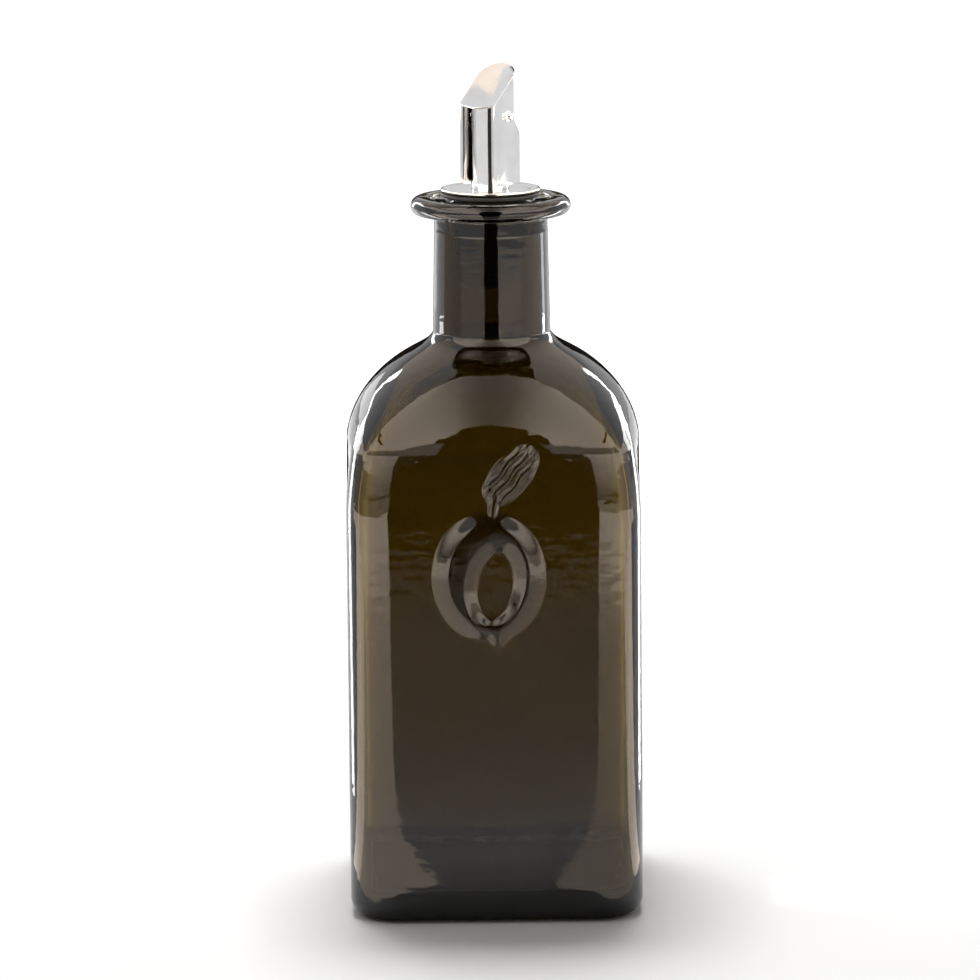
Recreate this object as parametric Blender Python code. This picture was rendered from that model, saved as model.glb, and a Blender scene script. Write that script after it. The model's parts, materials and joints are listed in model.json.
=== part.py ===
"""Square dark glass oil bottle with an embossed olive, a black stopper and a steel pourer.

The bottle stands on its base, +Z up, with the embossed face towards -Y. The world origin is the
middle of the whole part's footprint, on the surface that the bottle stands on. The pourer is turned
about the neck. Its flap is hinged on two rivets, and its object's origin is on that hinge.
All sizes are real sizes in metres.
"""
import math

import bmesh
import bpy

MM = 0.001

# Body of the bottle
BODY_HALF = 41.0 * MM
CORNER_RADIUS = 13.0 * MM
HEEL_RADIUS = 5.0 * MM
SHOULDER_START = 128.0 * MM
SHOULDER_DOME = 32.5 * MM
DOME_POWER = 2.0
SHOULDER_FILLET = 6.0 * MM

# Neck and lip
NECK_BASE_RADIUS = 15.9 * MM
NECK_TOP_RADIUS = 15.2 * MM
LIP_RADIUS = 22.3 * MM
LIP_TOP = 198.4 * MM
LIP_THICKNESS = 4.8 * MM
MOUTH_ROUND = 1.5 * MM

# Inside of the bottle
WALL = 3.6 * MM
FLOOR_HEIGHT = 7.0 * MM
PUSH_UP = 2.0 * MM
INNER_CORNER_RADIUS = 5.5 * MM
INNER_HEEL = 4.0 * MM
BORE_RADIUS = 11.0 * MM

# Embossed olive, in the plane of the front face: X is across, Z is up
MOUND_CENTRE = (-1.4 * MM, 98.7 * MM)
MOUND_HALF = (16.0 * MM, 19.4 * MM)
MOUND_CREST = 0.74
MOUND_HEIGHT = 1.8 * MM
DISH_CENTRE = (0.2 * MM, 97.4 * MM)
DISH_HALF = (10.8 * MM, 14.8 * MM)
DISH_DEPTH = 1.5 * MM
DISH_TILT = math.radians(9.0)
DISH_FLOOR = 0.55
POINT_AT = 1.2 * MM
POINT_WIDTH = 2.2 * MM
POINT_SHARE = 0.09

# Leaf and stem above the olive
LEAF_CENTRE = (5.2 * MM, 127.0 * MM)
LEAF_HALF = (9.6 * MM, 4.9 * MM)
LEAF_LEAN = math.radians(40.0)
LEAF_HEIGHT = 0.9 * MM
LEAF_RIBS = 3.5
RIB_HEIGHT = 0.35 * MM
STEM_FROM = (-0.3 * MM, 116.5 * MM)
STEM_TO = (0.6 * MM, 121.5 * MM)
STEM_HALF = 1.5 * MM
STEM_HEIGHT = 0.8 * MM

# Patch of the front face that carries the embossing
PATCH_LEFT = -18
PATCH_RIGHT = 15
PATCH_BOTTOM = 76
PATCH_TOP = 138

# The embossing stands proud of the front, so the bottle's axis sits this far behind the origin
AXIS_Y = MOUND_HEIGHT / 2

# Pourer: its beak points away from the front, turned to the right
POURER_TURN = math.radians(57.0)
GAP = 0.3 * MM
TUBE_RADIUS = 5.0 * MM
TUBE_WALL = 0.6 * MM
TUBE_BOTTOM = 174.0 * MM
FLANGE_RADIUS = 14.0 * MM
FLANGE_THICKNESS = 0.9 * MM
PLUG_TOP_RADIUS = 10.5 * MM
PLUG_BOTTOM_RADIUS = 9.9 * MM
PLUG_RING = 0.2 * MM
PLUG_RINGS = 4
DISC_RADIUS = 13.9 * MM
DISC_THICKNESS = 0.7 * MM
DISC_RIM = 0.25 * MM
FLANGE_BOTTOM = LIP_TOP + GAP
DISC_BOTTOM = FLANGE_BOTTOM + FLANGE_THICKNESS + GAP
DISC_TOP = DISC_BOTTOM + DISC_THICKNESS
HINGE_HEIGHT = DISC_TOP + 20.4 * MM

# Flap, measured from the hinge: X runs to the beak, Z is up
SHEET = 0.5 * MM
WING_HALF = TUBE_RADIUS + GAP + SHEET
WING_FRONT = -6.4 * MM
WING_BOTTOM = -19.1 * MM
WING_CORNER = 1.9 * MM
PLATE_LOW = 3.6 * MM
PLATE_SLOPE = math.radians(37.0)
PLATE_TONGUE = 1.2 * MM
TIP_START = 2.8 * MM
TIP_END = 7.2 * MM
WING_BACK = 3.4 * MM
BACK_PLATE_X = TUBE_RADIUS + GAP + 2 * SHEET
BACK_PLATE_TOP = -5.9 * MM
PLATE_BEND = 1.5 * MM
BACK_BEND = 1.1 * MM
RIVET_RADIUS = 0.9 * MM
RIVET_HEAD = 1.6 * MM
RIVET_DOME = 0.6 * MM

RING_SEGMENTS = 40


def clear_scene():
    for old in list(bpy.data.objects):
        bpy.data.objects.remove(old, do_unlink=True)


def principled(name, colour, roughness, metallic, transmission=0.0):
    material = bpy.data.materials.new(name)
    material.use_nodes = True
    shader = material.node_tree.nodes["Principled BSDF"]
    shader.inputs["Base Color"].default_value = (*colour, 1.0)
    shader.inputs["Roughness"].default_value = roughness
    shader.inputs["Metallic"].default_value = metallic
    shader.inputs["Transmission Weight"].default_value = transmission
    return material


def add_object(name, mesh_bm, material, smooth_angle=35.0):
    """Turn a bmesh into a named object with its material and smooth shading."""
    bmesh.ops.recalc_face_normals(mesh_bm, faces=mesh_bm.faces)
    mesh = bpy.data.meshes.new(name)
    mesh_bm.to_mesh(mesh)
    mesh_bm.free()
    mesh.shade_smooth()
    mesh.set_sharp_from_angle(angle=math.radians(smooth_angle))
    mesh.materials.append(material)
    thing = bpy.data.objects.new(name, mesh)
    bpy.context.collection.objects.link(thing)
    return thing


def add_empty(name, location, turn):
    empty = bpy.data.objects.new(name, None)
    empty.location = location
    empty.rotation_euler = (0.0, 0.0, turn)
    bpy.context.collection.objects.link(empty)
    return empty


def ease(t):
    """Rise smoothly from 0 to 1 as t goes from 0 to 1."""
    t = min(max(t, 0.0), 1.0)
    return t * t * (3.0 - 2.0 * t)


# Sections of the bottle

ARC_STEPS = 3
COLUMNS_PER_SIDE = 2 * (ARC_STEPS + 1)
COLUMNS = 4 * COLUMNS_PER_SIDE
FRONT_SIDE = 3


def body_angles():
    """Directions of the columns on one side of the square: the flat's middle and end, then the arc."""
    flat = BODY_HALF - CORNER_RADIUS
    half_side = [0.0]
    for step in range(ARC_STEPS + 1):
        turn = math.radians(45.0) * step / ARC_STEPS
        across = flat + CORNER_RADIUS * math.sin(turn)
        out = flat + CORNER_RADIUS * math.cos(turn)
        half_side.append(math.atan2(across, out))
    return half_side


def column_angles(roundness):
    """Angles of one side's columns, from the square body (0) to the round neck (1)."""
    square = body_angles()
    last = len(square) - 1
    half_side = []
    for step, angle in enumerate(square):
        round_angle = math.radians(45.0) * step / last
        half_side.append(angle + (round_angle - angle) * roundness)
    return [-angle for angle in reversed(half_side[1:])] + half_side[:-1]


def reach(half, radius, angle):
    """Distance from the axis to a rounded square's edge, at an angle from the middle of a side."""
    corner = half - radius
    angle = abs(angle)
    if half * math.tan(angle) <= corner:
        return half / math.cos(angle)
    along = corner * (math.cos(angle) + math.sin(angle))
    across = corner * (math.cos(angle) - math.sin(angle))
    return along + math.sqrt(radius * radius - across * across)


def section(half, radius, roundness, height):
    """Points of one level of the bottle, anticlockwise, one for each column."""
    points = []
    for side in range(4):
        middle = math.radians(90.0 * side)
        for angle in column_angles(roundness):
            distance = reach(half, radius, angle)
            direction = middle + angle
            points.append((distance * math.cos(direction), distance * math.sin(direction), height))
    return points


def shoulder_half(height, body_half, start, dome, neck_radius, fillet):
    """Half width where a domed shoulder runs into the neck through a fillet."""
    rise = min(max((height - start) / dome, 0.0), 1.0)
    dome_half = body_half * (1.0 - rise ** DOME_POWER) ** (1.0 / DOME_POWER)
    blend = math.hypot(dome_half - neck_radius, fillet)
    return min(0.5 * (dome_half + neck_radius + blend), body_half)


def shoulder_section(height, body_half, corner, start, dome, neck_radius, fillet):
    """One level of a shoulder or neck: the rounded square turns into a circle as it narrows."""
    half = shoulder_half(height, body_half, start, dome, neck_radius, fillet)
    roundness = (body_half - half) / (body_half - neck_radius)
    roundness = min(max(roundness, 0.0), 1.0)
    radius = min(corner + (half - corner) * roundness ** 1.5, half)
    if height >= start + dome:
        radius = half
        roundness = 1.0
    return section(half, radius, roundness, height)


def outer_half(height):
    return shoulder_half(height, BODY_HALF, SHOULDER_START, SHOULDER_DOME, neck_radius_at(height), SHOULDER_FILLET)


def neck_radius_at(height):
    base = SHOULDER_START + SHOULDER_DOME
    share = (height - base) / (LIP_TOP - LIP_THICKNESS - base)
    share = min(max(share, 0.0), 1.0)
    return NECK_BASE_RADIUS + (NECK_TOP_RADIUS - NECK_BASE_RADIUS) * share


def outer_levels():
    """Levels of the outside, from the middle of the base up over the lip to the mouth."""
    levels = []
    flat = BODY_HALF - HEEL_RADIUS
    levels.append(section(flat - 20 * MM, 3 * MM, 0.0, PUSH_UP))
    levels.append(section(flat - 12 * MM, 5 * MM, 0.0, PUSH_UP * 0.75))
    levels.append(section(flat - 6 * MM, 7 * MM, 0.0, 0.0))
    for step in range(5):
        turn = math.radians(90.0) * step / 4
        inset = HEEL_RADIUS * (1.0 - math.sin(turn))
        height = HEEL_RADIUS * (1.0 - math.cos(turn))
        levels.append(section(BODY_HALF - inset, CORNER_RADIUS - inset, 0.0, height))
    heights = [PATCH_BOTTOM, 128, 131, 134, PATCH_TOP, 142, 146, 149, 152, 154.5, 157, 160.5, 165, 176, 191]
    for height in heights:
        here = height * MM
        levels.append(
            shoulder_section(
                here, BODY_HALF, CORNER_RADIUS, SHOULDER_START, SHOULDER_DOME, neck_radius_at(here), SHOULDER_FILLET
            )
        )
    neck = outer_half(LIP_TOP - LIP_THICKNESS)
    for radius, height in lip_profile(neck):
        levels.append(section(radius, radius, 1.0, height))
    return levels


def lip_profile(neck):
    """Radius and height of the lip: a fillet, a round ring, and a rounded edge into the mouth."""
    points = []
    middle = LIP_TOP - LIP_THICKNESS / 2
    round_out = LIP_THICKNESS / 2
    points.append((neck, LIP_TOP - LIP_THICKNESS - 1.0 * MM))
    points.append((neck + 1.0 * MM, LIP_TOP - LIP_THICKNESS))
    for step in range(9):
        turn = math.radians(-90.0 + 180.0 * step / 8)
        radius = LIP_RADIUS - round_out + round_out * math.cos(turn)
        points.append((radius, middle + round_out * math.sin(turn)))
    for step in range(4):
        turn = math.radians(90.0 * step / 3)
        radius = BORE_RADIUS + MOUTH_ROUND * (1.0 - math.sin(turn))
        points.append((radius, LIP_TOP - MOUTH_ROUND * (1.0 - math.cos(turn))))
    return points


def inner_levels():
    """Levels of the inside, from the mouth down to the floor."""
    half = BODY_HALF - WALL
    dome = SHOULDER_DOME - WALL
    levels = []
    for height in [190, 165, 160, 157, 155, 152.5, 150, 147, 144, 140, 136, 132, 128]:
        here = height * MM
        levels.append(
            shoulder_section(
                here, half, INNER_CORNER_RADIUS, SHOULDER_START, dome, BORE_RADIUS, SHOULDER_FILLET
            )
        )
    for step in range(4):
        turn = math.radians(90.0) * step / 3
        inset = INNER_HEEL * (1.0 - math.cos(turn))
        height = FLOOR_HEIGHT + INNER_HEEL * (1.0 - math.sin(turn))
        levels.append(section(half - inset, INNER_CORNER_RADIUS - inset * 0.6, 0.0, height))
    return levels


# Embossing on the front face


def olive_height(x, z):
    """Height of the olive: a round swelling with a dished middle and a small point below."""
    across = (x - MOUND_CENTRE[0]) / MOUND_HALF[0]
    up = (z - MOUND_CENTRE[1]) / MOUND_HALF[1]
    out = math.hypot(across, up)
    point = math.exp(-(((x - POINT_AT) / POINT_WIDTH) ** 2))
    out -= POINT_SHARE * point * ease((-up - 0.6) / 0.4)
    swelling = MOUND_HEIGHT * ease((1.0 - out) / (1.0 - MOUND_CREST))
    dx = x - DISH_CENTRE[0]
    dz = z - DISH_CENTRE[1]
    turned_x = dx * math.cos(DISH_TILT) - dz * math.sin(DISH_TILT)
    turned_z = dx * math.sin(DISH_TILT) + dz * math.cos(DISH_TILT)
    inside = math.hypot(turned_x / DISH_HALF[0], turned_z / DISH_HALF[1])
    dish = DISH_DEPTH * ease((1.0 - inside) / (1.0 - DISH_FLOOR))
    return swelling - dish


def leaf_height(x, z):
    """Height of the leaf: a pointed blade that leans to the right, with ribs along it."""
    dx = x - LEAF_CENTRE[0]
    dz = z - LEAF_CENTRE[1]
    along = (dx * math.sin(LEAF_LEAN) + dz * math.cos(LEAF_LEAN)) / LEAF_HALF[0]
    across = (dx * math.cos(LEAF_LEAN) - dz * math.sin(LEAF_LEAN)) / LEAF_HALF[1]
    out = math.hypot(along, across)
    body = ease((1.0 - out) / 0.3)
    ribs = math.cos(across * LEAF_RIBS * math.pi)
    return body * (LEAF_HEIGHT + RIB_HEIGHT * ribs)


def stem_height(x, z):
    """Height of the short stem, a rounded bar from the olive to the leaf."""
    run_x = STEM_TO[0] - STEM_FROM[0]
    run_z = STEM_TO[1] - STEM_FROM[1]
    share = ((x - STEM_FROM[0]) * run_x + (z - STEM_FROM[1]) * run_z) / (run_x * run_x + run_z * run_z)
    share = min(max(share, 0.0), 1.0)
    away = math.hypot(x - STEM_FROM[0] - run_x * share, z - STEM_FROM[1] - run_z * share)
    return STEM_HEIGHT * ease(1.6 * (1.0 - away / STEM_HALF))


def embossed_height(x, z):
    return max(olive_height(x, z), leaf_height(x, z), stem_height(x, z), 0.0)


# The glass


def skin_between(bm, low, high, skip=()):
    """Join two rings of vertices with four-sided faces, leaving out the columns in skip."""
    count = len(low)
    for column in range(count):
        if column in skip:
            continue
        after = (column + 1) % count
        bm.faces.new((low[column], low[after], high[after], high[column]))


def embossed_patch(bm):
    """Grid of vertices for the embossed part of the front face, keyed by millimetres across and up."""
    grid = {}
    for up in range(PATCH_BOTTOM, PATCH_TOP + 1):
        for across in range(PATCH_LEFT, PATCH_RIGHT + 1):
            x = across * MM
            z = up * MM
            edge = across in (PATCH_LEFT, PATCH_RIGHT) or up in (PATCH_BOTTOM, PATCH_TOP)
            raised = 0.0 if edge else embossed_height(x, z)
            grid[across, up] = bm.verts.new((x, -outer_half(z) - raised, z))
    for up in range(PATCH_BOTTOM, PATCH_TOP):
        for across in range(PATCH_LEFT, PATCH_RIGHT):
            corners = (grid[across, up], grid[across + 1, up], grid[across + 1, up + 1], grid[across, up + 1])
            bm.faces.new(corners)
    return grid


def front_frame(bm, low, high, grid, centre):
    """Faces of the front flat between two rings, on both sides of the embossed patch."""
    left = centre - 1
    right = centre + 1
    low_z = round(low[left].co.z / MM)
    high_z = round(high[left].co.z / MM)
    if low_z < PATCH_BOTTOM:
        border_left = [grid[across, PATCH_BOTTOM] for across in range(0, PATCH_LEFT - 1, -1)]
        border_right = [grid[across, PATCH_BOTTOM] for across in range(PATCH_RIGHT, -1, -1)]
        bm.faces.new([low[left], low[centre], *border_left, high[left]])
        bm.faces.new([low[centre], low[right], high[right], *border_right])
        return
    if low_z >= PATCH_TOP:
        border_left = [grid[across, PATCH_TOP] for across in range(PATCH_LEFT, 1)]
        border_right = [grid[across, PATCH_TOP] for across in range(0, PATCH_RIGHT + 1)]
        bm.faces.new([low[left], *border_left, high[centre], high[left]])
        bm.faces.new([*border_right, low[right], high[right], high[centre]])
        return
    side_left = [grid[PATCH_LEFT, up] for up in range(low_z, high_z + 1)]
    side_right = [grid[PATCH_RIGHT, up] for up in range(high_z, low_z - 1, -1)]
    bm.faces.new([low[left], *side_left, high[left]])
    bm.faces.new([low[right], high[right], *side_right])


def build_glass(material):
    """Outer skin with the embossed front, over the lip, down the inside to the floor."""
    bm = bmesh.new()
    grid = embossed_patch(bm)
    centre = FRONT_SIDE * COLUMNS_PER_SIDE + ARC_STEPS + 1
    outside = outer_levels()
    rings = []
    for points in outside:
        height = points[0][2] / MM
        ring = []
        for column, point in enumerate(points):
            in_patch = PATCH_BOTTOM - 0.5 < height < PATCH_TOP + 0.5
            ring.append(None if in_patch and column == centre else bm.verts.new(point))
        rings.append(ring)
    front = (centre - 1, centre)
    for low, high in zip(rings, rings[1:]):
        touches = low[centre] is None or high[centre] is None
        skin_between(bm, low, high, skip=front if touches else ())
        if touches:
            front_frame(bm, low, high, grid, centre)
    inside = [[bm.verts.new(point) for point in points] for points in inner_levels()]
    skin_between(bm, rings[-1], inside[0])
    for low, high in zip(inside, inside[1:]):
        skin_between(bm, low, high)
    bm.faces.new(list(reversed(rings[0])))
    bm.faces.new(inside[-1])
    bmesh.ops.triangulate(bm, faces=[face for face in bm.faces if len(face.verts) > 4])
    return add_object("glass_bottle", bm, material, 50.0)


# Turned pieces of the pourer


def turned(name, profile, material, segments=RING_SEGMENTS):
    """Closed ring turned about Z from a closed profile of radius and height pairs."""
    bm = bmesh.new()
    rings = []
    for step in range(segments):
        angle = 2.0 * math.pi * step / segments
        ring = [bm.verts.new((r * math.cos(angle), r * math.sin(angle), z)) for r, z in profile]
        rings.append(ring)
    for low, high in zip(rings, rings[1:] + rings[:1]):
        skin_between(bm, low, high)
    return add_object(name, bm, material)


def stopper_profile():
    """Flange on the lip and a tapered plug with sealing rings, round a bore for the tube."""
    bore = TUBE_RADIUS + GAP
    top = FLANGE_BOTTOM + FLANGE_THICKNESS
    profile = [(bore, TUBE_BOTTOM), (bore, top)]
    profile += [(FLANGE_RADIUS - 0.3 * MM, top), (FLANGE_RADIUS, top - 0.3 * MM), (FLANGE_RADIUS, FLANGE_BOTTOM)]
    plug_top = FLANGE_BOTTOM
    run = plug_top - TUBE_BOTTOM
    profile.append((PLUG_BOTTOM_RADIUS, plug_top))
    for ring in range(PLUG_RINGS):
        share = (ring + 0.5) / PLUG_RINGS
        here = plug_top - run * share
        core = PLUG_TOP_RADIUS + (PLUG_BOTTOM_RADIUS - PLUG_TOP_RADIUS) * share
        profile.append((core - PLUG_RING, here + 1.2 * MM))
        profile.append((core + PLUG_RING, here + 0.5 * MM))
        profile.append((core + PLUG_RING, here - 0.5 * MM))
        profile.append((core - PLUG_RING, here - 1.2 * MM))
    profile.append((PLUG_BOTTOM_RADIUS - 1.0 * MM, TUBE_BOTTOM))
    return profile


def disc_profile():
    """Thin steel disc with a slightly raised, rounded rim."""
    bore = TUBE_RADIUS + GAP
    rim = DISC_RADIUS
    return [
        (bore, DISC_BOTTOM),
        (bore, DISC_TOP),
        (rim - 2.2 * MM, DISC_TOP),
        (rim - 0.7 * MM, DISC_TOP + DISC_RIM),
        (rim - 0.2 * MM, DISC_TOP + DISC_RIM * 0.6),
        (rim, DISC_TOP - 0.3 * MM),
        (rim - 0.2 * MM, DISC_BOTTOM),
    ]


def mouth_height(x):
    """Height of the tube's slanted mouth, parallel to the flap's plate and just under it."""
    under = (SHEET + GAP) / math.cos(PLATE_SLOPE)
    return HINGE_HEIGHT + PLATE_LOW + (x - WING_FRONT) * math.tan(PLATE_SLOPE) - under


def build_tube(material):
    """Straight steel tube, open at both ends, with its mouth cut on a slant."""
    bm = bmesh.new()
    rings = []
    for radius, at_mouth in (
        (TUBE_RADIUS, False),
        (TUBE_RADIUS, True),
        (TUBE_RADIUS - TUBE_WALL, True),
        (TUBE_RADIUS - TUBE_WALL, False),
    ):
        ring = []
        for step in range(RING_SEGMENTS):
            angle = 2.0 * math.pi * step / RING_SEGMENTS
            x = radius * math.cos(angle)
            height = mouth_height(x) if at_mouth else TUBE_BOTTOM
            ring.append(bm.verts.new((x, radius * math.sin(angle), height)))
        rings.append(ring)
    for low, high in zip(rings, rings[1:] + rings[:1]):
        skin_between(bm, low, high)
    return add_object("pourer_tube", bm, material)


# The flap


def wing_outline():
    """Side view of a wing, from the plate's low end round the bottom and up the back."""
    points = []
    for step in range(5):
        turn = math.radians(180.0 + 90.0 * step / 4)
        x = WING_FRONT + WING_CORNER + WING_CORNER * math.cos(turn)
        z = WING_BOTTOM + WING_CORNER + WING_CORNER * math.sin(turn)
        points.append((x, z))
    back = []
    for step in range(1, 6):
        share = step / 6
        x = BACK_PLATE_X + (WING_BACK - BACK_PLATE_X) * ease(share)
        back.append((x, BACK_PLATE_TOP + 5.5 * MM * share))
    tip_base = PLATE_LOW + (TIP_START - WING_FRONT) * math.tan(PLATE_SLOPE)
    back += [(WING_BACK, 2.0 * MM), (WING_BACK, tip_base - 1.2 * MM)]
    return points, back


def plate_point(slope_run, across):
    """Point of the sloping plate, from the distance up the slope and the distance across."""
    x = WING_FRONT + slope_run * math.cos(PLATE_SLOPE)
    z = PLATE_LOW + slope_run * math.sin(PLATE_SLOPE)
    return (x, across, z)


def build_flap(material):
    """Folded sheet: a sloping plate with a round beak, two wings, and a plate across the back."""
    bm = bmesh.new()
    front_points, back_points = wing_outline()
    side_run = (TIP_START - WING_FRONT) / math.cos(PLATE_SLOPE)
    tip_run = (TIP_END - WING_FRONT) / math.cos(PLATE_SLOPE)
    low_edge = []
    high_edge = []
    corners = {}
    for side in (1, -1):
        across = side * WING_HALF
        plate_low = bm.verts.new(plate_point(0.0, across))
        plate_high = bm.verts.new(plate_point(side_run, across))
        front = [bm.verts.new((x, across, z)) for x, z in front_points]
        foot = bm.verts.new((BACK_PLATE_X, across, WING_BOTTOM))
        knee = bm.verts.new((BACK_PLATE_X, across, BACK_PLATE_TOP))
        back = [bm.verts.new((x, across, z)) for x, z in back_points]
        bm.faces.new([plate_low, *front, foot, knee, *back, plate_high])
        corners[side] = (plate_low, plate_high, foot, knee)
    for step in range(1, 6):
        across = WING_HALF * (1.0 - 2.0 * step / 6)
        dip = PLATE_TONGUE * (1.0 - (across / WING_HALF) ** 2)
        low_edge.append(bm.verts.new(plate_point(-dip, across)))
    for step in range(1, 10):
        turn = math.pi * step / 10
        run = side_run + (tip_run - side_run) * math.sin(turn)
        high_edge.append(bm.verts.new(plate_point(run, -WING_HALF * math.cos(turn))))
    bm.faces.new([corners[1][0], *low_edge, corners[-1][0], corners[-1][1], *high_edge, corners[1][1]])
    bm.faces.new([corners[1][2], corners[-1][2], corners[-1][3], corners[1][3]])
    bm.edges.ensure_lookup_table()
    weight = bm.edges.layers.float.new("bevel_weight_edge")
    for side in (1, -1):
        plate_low, plate_high, foot, knee = corners[side]
        bm.edges.get((plate_low, plate_high))[weight] = 1.0
        bm.edges.get((foot, knee))[weight] = BACK_BEND / PLATE_BEND
    flap = add_object("pour_flap", bm, material)
    bend = flap.modifiers.new("bends", "BEVEL")
    bend.limit_method = "WEIGHT"
    bend.width = PLATE_BEND
    bend.segments = 4
    thick = flap.modifiers.new("sheet", "SOLIDIFY")
    thick.thickness = SHEET
    thick.offset = -1.0
    thick.use_even_offset = True
    return flap


def across_cylinder(name, radius, length):
    """Cutter along the hinge axis, for the rivet holes."""
    bm = bmesh.new()
    bmesh.ops.create_cone(bm, cap_ends=True, segments=20, radius1=radius, radius2=radius, depth=length)
    cutter = add_object(name, bm, principled(name, (0.5, 0.5, 0.5), 0.5, 0.0))
    cutter.rotation_euler = (math.radians(90.0), 0.0, 0.0)
    cutter.hide_render = True
    cutter.display_type = "WIRE"
    return cutter


def cut_with(thing, cutter):
    cut = thing.modifiers.new("holes", "BOOLEAN")
    cut.operation = "DIFFERENCE"
    cut.solver = "EXACT"
    cut.object = cutter


def build_rivet(name, side, material):
    """Rivet through one wing and the tube's wall, with a domed head outside the wing."""
    inner = TUBE_RADIUS - TUBE_WALL - 0.2 * MM
    seat = WING_HALF + GAP
    profile = [(0.0, inner), (RIVET_RADIUS, inner), (RIVET_RADIUS, seat), (RIVET_HEAD, seat)]
    for step in range(1, 4):
        turn = math.radians(30.0 * step)
        profile.append((RIVET_HEAD * math.cos(turn), seat + RIVET_DOME * math.sin(turn)))
    bm = bmesh.new()
    segments = 16
    rings = []
    for radius, out in profile[1:-1]:
        ring = []
        for step in range(segments):
            angle = 2.0 * math.pi * step / segments
            ring.append(bm.verts.new((radius * math.cos(angle), side * out, radius * math.sin(angle))))
        rings.append(ring)
    for low, high in zip(rings, rings[1:]):
        skin_between(bm, low, high)
    crown = bm.verts.new((0.0, side * profile[-1][1], 0.0))
    for step in range(segments):
        bm.faces.new((rings[-1][step], rings[-1][(step + 1) % segments], crown))
    bm.faces.new(list(reversed(rings[0])))
    return add_object(name, bm, material)


def main():
    clear_scene()
    glass = principled("dark_glass", (0.10, 0.08, 0.03), 0.05, 0.0, 0.6)
    steel = principled("polished_steel", (0.78, 0.78, 0.78), 0.12, 1.0)
    rubber = principled("black_rubber", (0.02, 0.02, 0.02), 0.6, 0.0)

    bottle = build_glass(glass)
    bottle.location = (0.0, AXIS_Y, 0.0)

    axis = add_empty("pourer_axis", (0.0, AXIS_Y, 0.0), POURER_TURN)
    stopper = turned("pourer_stopper", stopper_profile(), rubber)
    disc = turned("pourer_disc", disc_profile(), steel, 48)
    tube = build_tube(steel)
    hinge = add_empty("flap_hinge", (0.0, AXIS_Y, HINGE_HEIGHT), POURER_TURN)
    flap = build_flap(steel)
    left = build_rivet("rivet_left", 1, steel)
    right = build_rivet("rivet_right", -1, steel)
    tube_holes = across_cylinder("tube_hole_cutter", RIVET_RADIUS + GAP, 4 * TUBE_RADIUS)
    wing_holes = across_cylinder("wing_hole_cutter", RIVET_RADIUS + GAP, 4 * TUBE_RADIUS)
    cut_with(tube, tube_holes)
    cut_with(flap, wing_holes)
    for piece in (stopper, disc, tube):
        piece.parent = axis
    for piece in (flap, left, right, tube_holes, wing_holes):
        piece.parent = hinge


main()
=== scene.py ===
# %% [markdown]
# A square oil bottle of dark olive-brown glass, with an embossed olive on its front face, a black
# stopper in its neck and a steel pourer with a hinged flap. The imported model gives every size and
# place. This script dresses it: smoother glass with its fine relief, polished steel, black rubber,
# and the studio that makes such glass readable, since dark glass shows little but reflections.

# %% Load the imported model
import json
import math

import bmesh
import bpy
import numpy as np
from mathutils import Matrix, Vector


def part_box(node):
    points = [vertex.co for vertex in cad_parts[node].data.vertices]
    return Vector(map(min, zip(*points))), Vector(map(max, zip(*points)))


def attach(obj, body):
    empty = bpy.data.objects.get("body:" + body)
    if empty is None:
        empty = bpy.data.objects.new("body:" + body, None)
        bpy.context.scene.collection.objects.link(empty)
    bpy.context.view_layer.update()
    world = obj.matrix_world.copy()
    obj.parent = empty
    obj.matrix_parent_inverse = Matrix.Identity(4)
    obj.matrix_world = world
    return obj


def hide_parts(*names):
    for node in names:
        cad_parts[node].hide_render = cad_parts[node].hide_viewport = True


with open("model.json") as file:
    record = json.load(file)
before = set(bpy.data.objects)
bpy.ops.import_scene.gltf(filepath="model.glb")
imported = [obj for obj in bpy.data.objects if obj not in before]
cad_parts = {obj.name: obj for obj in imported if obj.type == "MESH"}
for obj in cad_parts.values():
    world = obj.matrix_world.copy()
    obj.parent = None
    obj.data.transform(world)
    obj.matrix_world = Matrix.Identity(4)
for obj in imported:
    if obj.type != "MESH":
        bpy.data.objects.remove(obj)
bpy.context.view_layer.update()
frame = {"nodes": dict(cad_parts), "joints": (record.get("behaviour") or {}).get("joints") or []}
print("pieces in the model:", ", ".join(sorted(frame["nodes"])))

# %% [markdown]
# Every size that the model already holds is read from it and not typed again. The glass stands a
# little behind the origin, because the embossing stands proud of the front face.

# %% Sizes read from the model
MM = 0.001
glass_low, glass_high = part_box("glass_bottle")
BODY_HALF = (glass_high.x - glass_low.x) / 2
AXIS_Y = glass_high.y - BODY_HALF
LIP_TOP = glass_high.z
disc_low, disc_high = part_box("pourer_disc")
stopper_low, stopper_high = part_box("pourer_stopper")
tube_low, tube_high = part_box("pourer_tube")
hinge_joint = frame["joints"][0]
HINGE = Vector(hinge_joint["pos_m"])
POURER_TURN = math.atan2(hinge_joint["axis"][0], -hinge_joint["axis"][1])
print(f"body {2 * BODY_HALF / MM:.1f} mm wide, lip at {LIP_TOP / MM:.1f} mm, hinge at {HINGE.z / MM:.1f} mm")

# %% [markdown]
# The camera stands 1.4 m away and looks down by 11 degrees, through a long lens that keeps the
# bottle's sides nearly parallel. It is rolled by half a degree, as the picture leans a little.

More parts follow.
